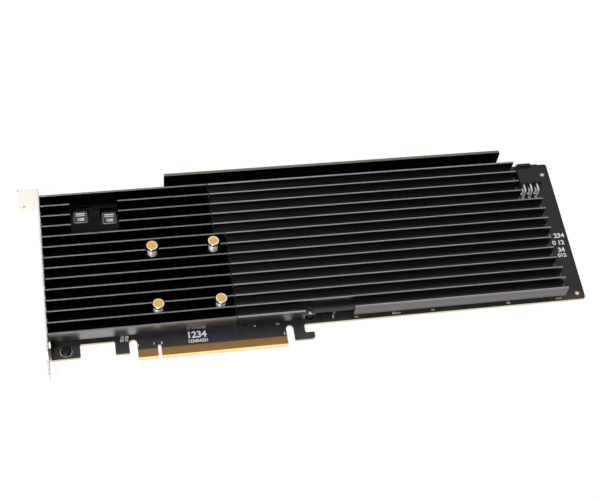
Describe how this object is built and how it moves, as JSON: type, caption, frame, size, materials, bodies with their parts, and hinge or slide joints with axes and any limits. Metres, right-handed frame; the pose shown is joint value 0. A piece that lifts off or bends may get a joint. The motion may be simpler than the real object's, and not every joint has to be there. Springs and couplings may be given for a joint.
{
  "type": "nvme adapter card",
  "caption": "Full-length plug-in card that carries M.2 drives under two black finned heat sinks, with a slot bracket, a stiffening rail and a power socket.",
  "frame": {"origin": "component face of the board, at the finger edge, on the centre line of the key notch", "axes": "+X along the finger edge away from the bracket, +Y from the finger edge to the top edge, +Z out of the component face"},
  "size_m": [0.3258, 0.1242, 0.0217],
  "materials": {
    "board_laminate": "satin black solder mask over glass laminate",
    "contact_gold": "gold plating",
    "bracket_steel": "nickel-plated sheet",
    "black_anodised": "black anodised, satin",
    "dark_screw": "black zinc",
    "bright_screw": "zinc plated",
    "pin_brass": "turned brass",
    "spring_steel": "bright wire",
    "chip_package": "package substrate",
    "chip_metal": "nickel-plated lid",
    "thermal_grey": "soft thermal compound",
    "choke_body": "pressed iron powder",
    "black_nylon": "moulded, matt",
    "tinned_pin": "tin plated",
    "chip_black": "moulded compound",
    "capacitor_ceramic": "fired, matt",
    "crystal_can": "metal can"
  },
  "bodies": {
    "root": {"access_screw": "bright_screw", "access_spacer": "bright_screw", "bracket_screws": "dark_screw", "ceramic_capacitors": "capacitor_ceramic", "chip_lid": "chip_metal", "circuit_board": "board_laminate", "clock_crystal": "crystal_can", "drive_heat_sink": "black_anodised", "drive_pad_1": "thermal_grey", "drive_pad_2": "thermal_grey", "drive_pad_3": "thermal_grey", "drive_pad_4": "thermal_grey", "drive_pad_5": "thermal_grey", "drive_pad_6": "thermal_grey", "drive_pad_7": "thermal_grey", "drive_pad_8": "thermal_grey", "edge_capacitor": "tinned_pin", "edge_chips": "chip_black", "front_contacts": "contact_gold", "heat_sink_screws": "bright_screw", "m2_connector_1": "black_nylon", "m2_connector_2": "black_nylon", "m2_connector_3": "black_nylon", "m2_connector_4": "black_nylon", "m2_connector_5": "black_nylon", "m2_connector_6": "black_nylon", "m2_connector_7": "black_nylon", "m2_connector_8": "black_nylon", "m2_post_screws": "bright_screw", "m2_posts": "bright_screw", "mounting_bracket": "bracket_steel", "pin_springs": "spring_steel", "plated_rings": "contact_gold", "power_inductors": "choke_body", "power_socket": "black_nylon", "power_socket_pins": "tinned_pin", "push_pins": "pin_brass", "rail_screws": "dark_screw", "rear_contacts": "contact_gold", "regulator_chips": "chip_black", "switch_chip": "chip_package", "switch_heat_sink": "black_anodised", "tank_capacitors": "chip_black", "thermal_paste": "thermal_grey", "top_rail": "black_anodised"}
  },
  "joints": []
}
